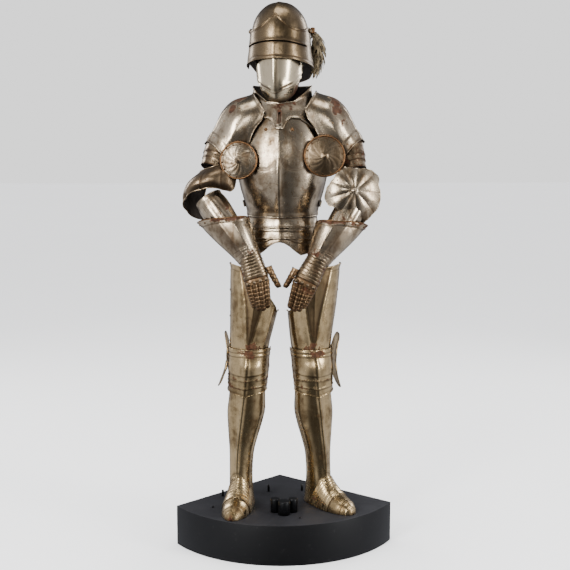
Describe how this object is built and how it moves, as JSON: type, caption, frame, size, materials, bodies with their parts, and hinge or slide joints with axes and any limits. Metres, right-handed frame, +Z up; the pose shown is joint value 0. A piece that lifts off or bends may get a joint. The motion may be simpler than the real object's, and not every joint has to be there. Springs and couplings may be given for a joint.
{
  "type": "suit of plate armour on its display plinth",
  "caption": "Gothic suit of plate armour with a visored sallet and pointed sabatons, standing on a black quarter-round plinth.",
  "frame": {"origin": "centre of the bounding box on the floor, under the plinth", "axes": "+Z up, -Y the way the suit and the plinth's rounded side face, +X towards the wearer's left"},
  "size_m": [0.782, 0.5854, 1.9307],
  "materials": {
    "armour_steel": "satin",
    "helmet_steel": "satin",
    "bright_steel": "satin",
    "rusty_steel": "matte",
    "copper_trim": "satin",
    "leather": "matte",
    "feather": "matte",
    "black_paint": "satin"
  },
  "bodies": {
    "suit": {"plinth": "black_paint", "sword_rest": "black_paint", "sallet_skull": "helmet_steel", "visor_pivot_right": "helmet_steel", "visor_pivot_left": "helmet_steel", "plume_socket": "copper_trim", "plume": "feather", "bevor_upper": "bright_steel", "bevor_chin": "bright_steel", "gorget_front": "armour_steel", "gorget_back": "armour_steel", "breastplate": "armour_steel", "backplate": "armour_steel", "fauld_lame_1": "armour_steel", "fauld_lame_2": "armour_steel", "fauld_lame_3": "armour_steel", "culet_lame_1": "armour_steel", "culet_lame_2": "armour_steel", "culet_lame_3": "armour_steel", "right_pauldron": "armour_steel", "right_arm_lame_1": "armour_steel", "right_arm_lame_2": "armour_steel", "right_arm_lame_3": "armour_steel", "right_besagew": "armour_steel", "right_couter": "armour_steel", "right_lower_cannon": "armour_steel", "right_gauntlet_cuff": "armour_steel", "right_hand_plate": "rusty_steel", "right_finger_plates": "rusty_steel", "right_thumb_plates": "rusty_steel", "left_pauldron": "armour_steel", "left_arm_lame_1": "armour_steel", "left_arm_lame_2": "armour_steel", "left_arm_lame_3": "armour_steel", "left_besagew": "armour_steel", "left_couter": "armour_steel", "left_lower_cannon": "armour_steel", "left_gauntlet_cuff": "armour_steel", "left_hand_plate": "rusty_steel", "left_finger_plates": "rusty_steel", "left_thumb_plates": "rusty_steel", "right_cuisse": "armour_steel", "right_poleyn_wing": "armour_steel", "right_poleyn": "armour_steel", "right_poleyn_lame": "armour_steel", "right_greave_front": "armour_steel", "right_greave_back": "armour_steel", "left_cuisse": "armour_steel", "left_poleyn_wing": "armour_steel", "left_poleyn": "armour_steel", "left_poleyn_lame": "armour_steel", "left_greave_front": "armour_steel", "left_greave_back": "armour_steel", "right_sabaton_lames": "armour_steel", "right_sabaton_toe": "armour_steel", "left_sabaton_lames": "armour_steel", "left_sabaton_toe": "armour_steel"},
    "visor": {"sallet_visor": "helmet_steel"}
  },
  "joints": [
    {"name": "visor_hinge", "type": "hinge", "parent": "suit", "child": "visor", "pos_m": [-0.01484, -0.0747, 1.831], "axis": [-0.9744, 0.225, 0], "range_deg": [0, 48]}
  ]
}
